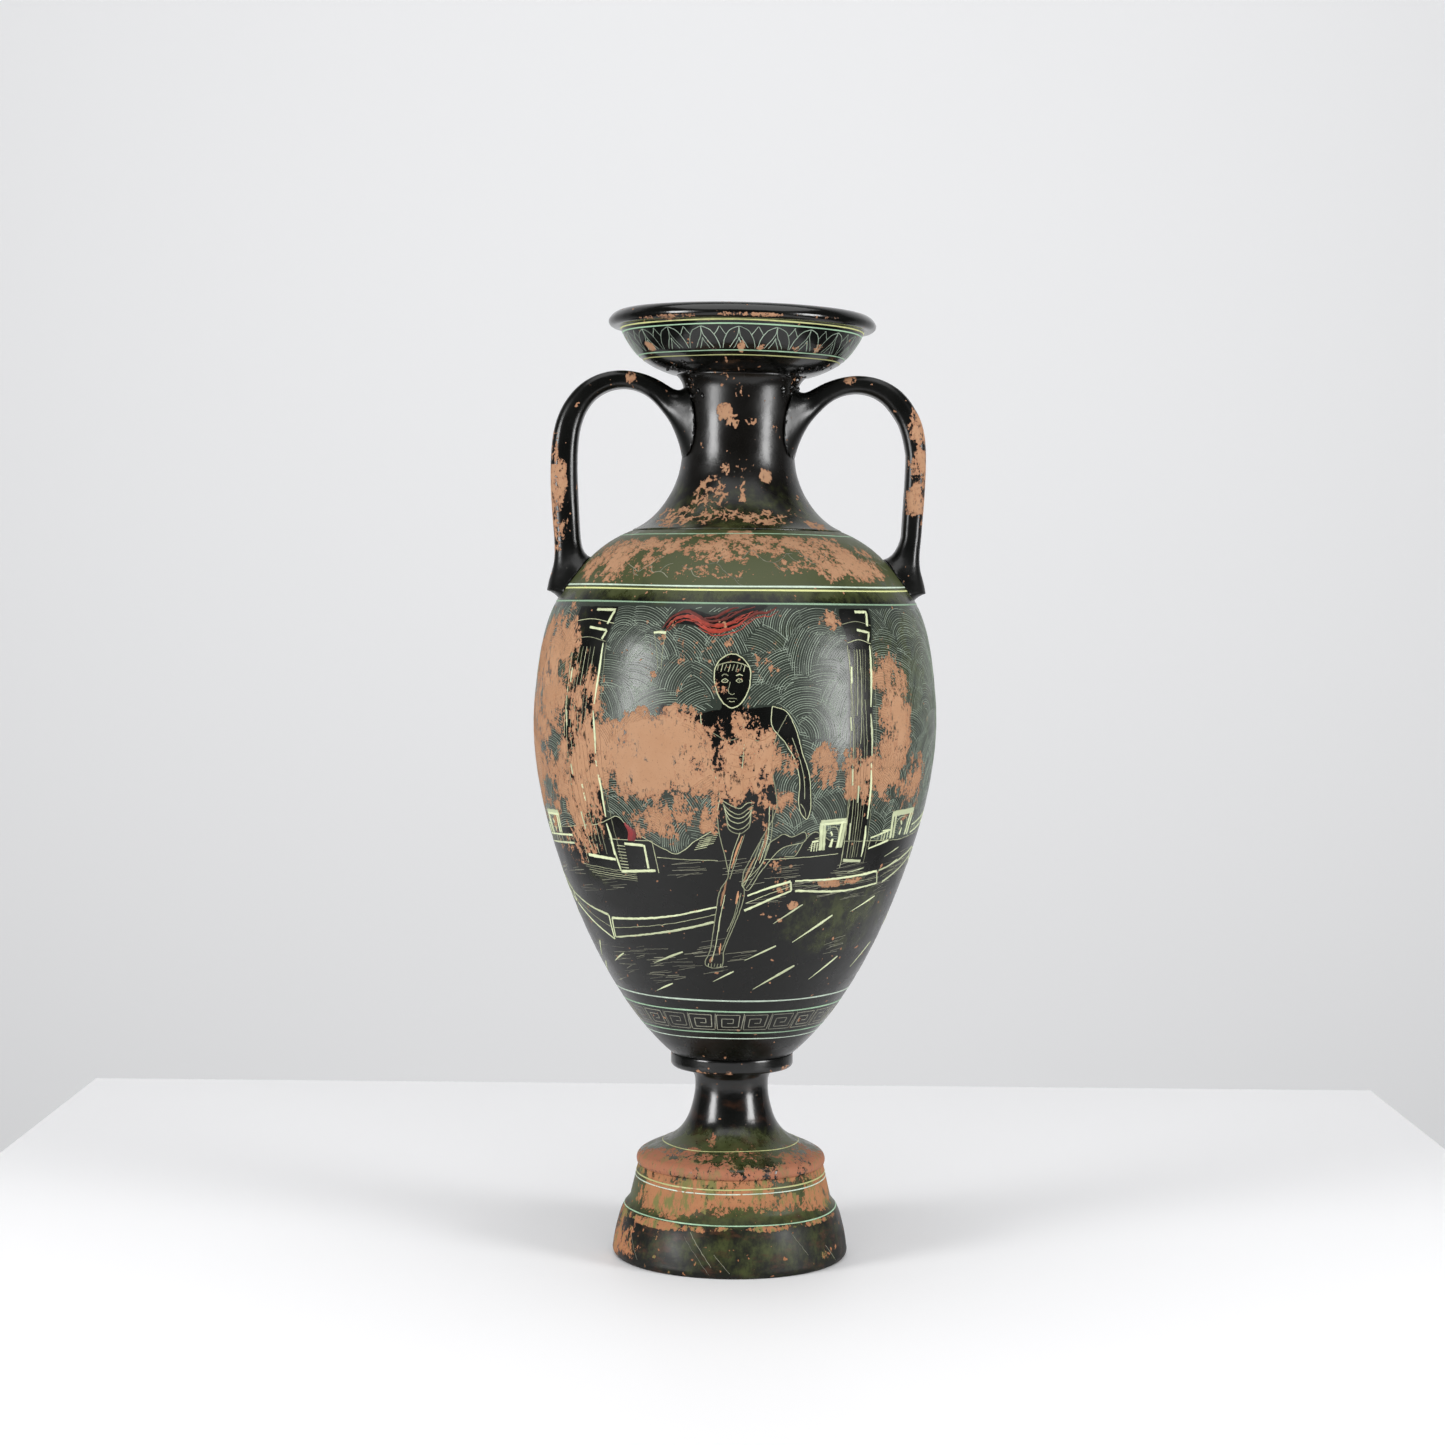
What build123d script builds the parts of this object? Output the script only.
"""A footed neck amphora in fired clay, built from the sections that a potter throws and lutes together.

Millimetres, +Z up. The origin is the centre of the foot's resting face. The handles lie in the XZ plane.
Outlines are (radius, height) pairs, read as (x, z).
"""

import os
from math import hypot

from build123d import *

# Heights above the resting face.
HEIGHT = 482.5
MOUTH_SEAT = 450.7  # the mouth sits on the neck
NECK_SEAT = 371.8  # the neck sits on the shoulder
FOOT_SEAT = 99.5  # the foot's stem meets the underside of the body
PLINTH_SEAT = 47.0  # the flared foot sits on the stepped plinth

# Walls, and the short spigots that register one section in the next.
WALL = 6.5
RIM_LAND = 1.5  # flat crown of the lip
SHOULDER_WALL = 5.5  # wall at the hole that takes the neck
NECK_BORE = 22.2
MOUTH_SPIGOT = 26.5
NECK_SPIGOT = 48.5
STEM_SOCKET = 13.0
PLINTH_SPIGOT = 39.0
SPIGOT_DEPTH = 4.0
BOSS_DEPTH = 2.5
FLOOR_THICKNESS = 8.0
FLOOR_RADIUS = 14.0

# Mouth: a shallow bowl under a rounded lip that overhangs it.
BOWL = [
    (33.0, MOUTH_SEAT),
    (38.7, 452.3),
    (45.9, 455.4),
    (51.3, 458.9),
    (55.8, 463.4),
    (59.3, 468.4),
    (62.6, 474.4),
]
LIP_UNDERSIDE = (65.2, 474.5)
LIP_BELLY = (67.6, 475.4)
LIP_EDGE = (68.3, 477.7)
LIP_SHOULDER = (65.3, 481.3)
LIP_CROWN = (61.0, HEIGHT)
LIP_INNER = (57.2, 481.5)
DISH = [
    LIP_INNER,
    (54.6, 476.0),
    (51.2, 469.2),
    (46.0, 463.6),
    (37.5, 459.4),
    (27.5, 455.0),
    (NECK_BORE, MOUTH_SEAT - SPIGOT_DEPTH),
]

# Neck: a slim cylinder that flares into the shoulder.
NECK_OUTSIDE = [
    (33.0, MOUTH_SEAT),
    (30.1, 446.8),
    (28.8, 438.0),
    (28.6, 417.0),
    (29.6, 404.0),
    (33.0, 393.5),
    (39.8, 382.8),
    (46.6, 376.3),
    (53.2, 372.6),
]
NECK_FOOT = (53.6, NECK_SEAT)
NECK_INSIDE = [
    (NECK_BORE, 415.0),
    (23.2, 403.0),
    (27.0, 391.5),
    (33.5, 382.0),
    (41.0, 374.5),
    (44.0, NECK_SEAT - SPIGOT_DEPTH),
]

# Body: an egg standing on its narrow end.
BODY_OUTSIDE = [
    (54.2, NECK_SEAT),
    (68.2, 363.9),
    (80.6, 352.0),
    (93.0, 333.5),
    (100.8, 302.5),
    (102.9, 275.0),
    (98.7, 237.5),
    (88.3, 200.5),
    (73.3, 163.5),
    (56.4, 133.4),
    (35.6, 108.2),
    (25.0, FOOT_SEAT),
]

# Foot: a coil under the body, a waisted stem with a flared end, and a stepped plinth.
COLLAR_RADIUS = 31.6
COLLAR_BOTTOM = 97.0
COLLAR_TOP = 106.0
COLLAR_ROUNDING = 2.4
STEM_OUTSIDE = [
    (23.4, FOOT_SEAT),
    (21.6, 95.6),
    (19.6, 92.6),
    (18.9, 88.5),
    (19.5, 81.0),
    (21.4, 73.5),
    (24.7, 66.6),
    (29.0, 62.0),
    (34.4, 58.8),
    (41.3, 55.8),
    (46.6, 53.0),
]
FLARE_EDGE = (48.6, 50.4)
FLARE_UNDERSIDE = (48.2, PLINTH_SEAT)
STEM_INSIDE = [(0.0, 57.0), (16.0, 55.0), (29.0, 49.5), (35.5, PLINTH_SEAT - SPIGOT_DEPTH)]
DRUM_TOP = (47.8, PLINTH_SEAT)
DRUM_BOTTOM = (51.8, 29.6)
STEP = (52.8, 28.0)
PLINTH_OUTSIDE = [STEP, (55.9, 23.4), (58.2, 16.0), (59.6, 9.5), (60.4, 4.0)]
FOOT_TOE = (60.2, 1.4)
FOOT_RADIUS = 59.0
FOOT_RING = 9.0  # width of the ring that touches the table
PLINTH_INSIDE = [
    (FOOT_RADIUS - FOOT_RING, 0.0),
    (48.8, 12.0),
    (43.8, 25.0),
    (40.2, 37.0),
    (PLINTH_SPIGOT, PLINTH_SEAT),
]

# Handles: (x, z, thickness across the strap, width along Y) of each section, from the neck to the shoulder.
HANDLE_SECTIONS = [
    (20.0, 417.5, 17.0, 25.0),
    (34.0, 435.5, 12.5, 22.0),
    (45.0, 444.0, 9.6, 18.5),
    (61.0, 447.9, 8.8, 17.0),
    (77.0, 441.9, 10.4, 16.5),
    (86.2, 428.0, 12.4, 16.5),
    (88.8, 409.0, 13.4, 16.5),
    (88.0, 386.0, 13.6, 17.0),
    (86.4, 364.0, 13.2, 18.5),
    (86.4, 351.5, 15.0, 22.0),
    (87.4, 343.0, 17.5, 24.5),
    (85.2, 336.5, 17.5, 25.0),
]
HANDLE_ROUNDING = 0.38  # corner radius of a section, as a share of its thickness


def chain(*points):
    """Straight edges from point to point."""
    return [Line(a, b) for a, b in zip(points, points[1:])]


def turned(edges):
    """The solid that a closed (radius, height) outline sweeps round the vertical axis."""
    outline = make_face(Plane.XZ * Wire(edges))
    return revolve(outline, Axis.Z)


def inset(points, depth):
    """The points of an outline moved inwards by depth, square to the line through their neighbours."""
    moved = []
    for i in range(1, len(points) - 1):
        (r0, z0), (r1, z1) = points[i - 1], points[i + 1]
        length = hypot(r1 - r0, z1 - z0)
        r, z = points[i]
        moved.append((r + depth * (z1 - z0) / length, z - depth * (r1 - r0) / length))
    return moved


def filled(outside):
    """The solid core of an outline that runs downwards, closed to the axis."""
    top, bottom = outside[0], outside[-1]
    ends = chain(bottom, (0, bottom[1]), (0, top[1]), top)
    return turned([Spline(*outside), *ends])


def make_mouth():
    """The bowl, its lip and the spigot that drops into the neck."""
    throat = DISH[-1]
    spigot = chain(throat, (MOUTH_SPIGOT, throat[1]), (MOUTH_SPIGOT, MOUTH_SEAT), BOWL[0])
    land = (LIP_CROWN[0] - RIM_LAND, HEIGHT)
    lip = [
        Line(BOWL[-1], LIP_UNDERSIDE),
        ThreePointArc(LIP_UNDERSIDE, LIP_BELLY, LIP_EDGE),
        ThreePointArc(LIP_EDGE, LIP_SHOULDER, LIP_CROWN),
        *chain(LIP_CROWN, land, LIP_INNER),
    ]
    return turned([Spline(*BOWL), *lip, Spline(*DISH), *spigot])


def make_neck():
    """The neck, with a socket for the mouth above and a spigot for the body below."""
    spigot_end = NECK_INSIDE[-1]
    foot = chain(
        NECK_OUTSIDE[-1],
        NECK_FOOT,
        (NECK_SPIGOT, NECK_SEAT),
        (NECK_SPIGOT, spigot_end[1]),
        spigot_end,
    )
    socket_floor = MOUTH_SEAT - SPIGOT_DEPTH
    top = chain(
        NECK_INSIDE[0],
        (NECK_BORE, socket_floor),
        (MOUTH_SPIGOT, socket_floor),
        (MOUTH_SPIGOT, MOUTH_SEAT),
        NECK_OUTSIDE[0],
    )
    return turned([Spline(*NECK_OUTSIDE), *foot, Spline(*reversed(NECK_INSIDE)), *top])


def make_body():
    """The hollow egg, open at the shoulder, with a boss under its floor."""
    opening = (NECK_SPIGOT, NECK_SEAT - SHOULDER_WALL)
    floor = FOOT_SEAT + FLOOR_THICKNESS
    cavity = [opening, *inset(BODY_OUTSIDE, WALL), (FLOOR_RADIUS, floor)]
    boss = FOOT_SEAT - BOSS_DEPTH
    base = chain(
        BODY_OUTSIDE[-1],
        (STEM_SOCKET, FOOT_SEAT),
        (STEM_SOCKET, boss),
        (0, boss),
        (0, floor),
        cavity[-1],
    )
    rim = chain(opening, (NECK_SPIGOT, NECK_SEAT), BODY_OUTSIDE[0])
    return turned([Spline(*BODY_OUTSIDE), *base, Spline(*cavity), *rim])


def make_stem():
    """The waisted stem: a socket for the body above, a domed hollow and a spigot below."""
    spigot_end = STEM_INSIDE[-1]
    seat = chain(FLARE_UNDERSIDE, (PLINTH_SPIGOT, PLINTH_SEAT), (PLINTH_SPIGOT, spigot_end[1]), spigot_end)
    socket_floor = FOOT_SEAT - BOSS_DEPTH
    top = chain(
        STEM_INSIDE[0],
        (0, socket_floor),
        (STEM_SOCKET, socket_floor),
        (STEM_SOCKET, FOOT_SEAT),
        STEM_OUTSIDE[0],
    )
    edge = ThreePointArc(STEM_OUTSIDE[-1], FLARE_EDGE, FLARE_UNDERSIDE)
    return turned([Spline(*STEM_OUTSIDE), edge, *seat, Spline(*reversed(STEM_INSIDE)), *top])


def make_plinth():
    """The hollow plinth: a drum on a wider, rounded base."""
    heel = ThreePointArc(PLINTH_OUTSIDE[-1], FOOT_TOE, (FOOT_RADIUS, 0))
    under = Line((FOOT_RADIUS, 0), PLINTH_INSIDE[0])
    top = Line(PLINTH_INSIDE[-1], DRUM_TOP)
    drum = chain(DRUM_TOP, DRUM_BOTTOM, STEP)
    return turned([*drum, Spline(*PLINTH_OUTSIDE), heel, under, Spline(*PLINTH_INSIDE), top])


def make_collar(body, stem):
    """A coil of clay turned into a ring where the foot joins the body."""
    blank = Cylinder(COLLAR_RADIUS, COLLAR_TOP - COLLAR_BOTTOM)
    blank = fillet(blank.edges().filter_by(GeomType.CIRCLE), COLLAR_ROUNDING)
    blank = Pos(0, 0, (COLLAR_TOP + COLLAR_BOTTOM) / 2) * blank
    return blank - body - stem


def make_handle(*cores):
    """The right-hand handle: a strap lofted from neck to shoulder, cut where it is luted to them."""
    path = Spline(*[(x, 0, z) for x, z, _, _ in HANDLE_SECTIONS])
    sections = []
    for x, z, thickness, width in HANDLE_SECTIONS:
        along = path.tangent_at(path.param_at_point((x, 0, z)))
        place = Plane(origin=(x, 0, z), x_dir=(0, 1, 0), z_dir=along)
        sections.append(place * RectangleRounded(width, thickness, HANDLE_ROUNDING * thickness))
    handle = loft(sections)
    for core in cores:
        handle -= core
    return handle.solids().sort_by(SortBy.VOLUME)[-1]


mouth = make_mouth()
neck = make_neck()
body = make_body()
stem = make_stem()
plinth = make_plinth()
collar = make_collar(filled(BODY_OUTSIDE), filled(STEM_OUTSIDE))
handle_right = make_handle(filled(NECK_OUTSIDE), filled(BODY_OUTSIDE))
handle_left = handle_right.mirror(Plane.YZ)

nodes = {
    "mouth": mouth,
    "neck": neck,
    "body": body,
    "foot_collar": collar,
    "foot_stem": stem,
    "foot_plinth": plinth,
    "handle_left": handle_left,
    "handle_right": handle_right,
}

os.makedirs("parts", exist_ok=True)
for name, shape in nodes.items():
    export_step(shape, f"parts/{name}.step")
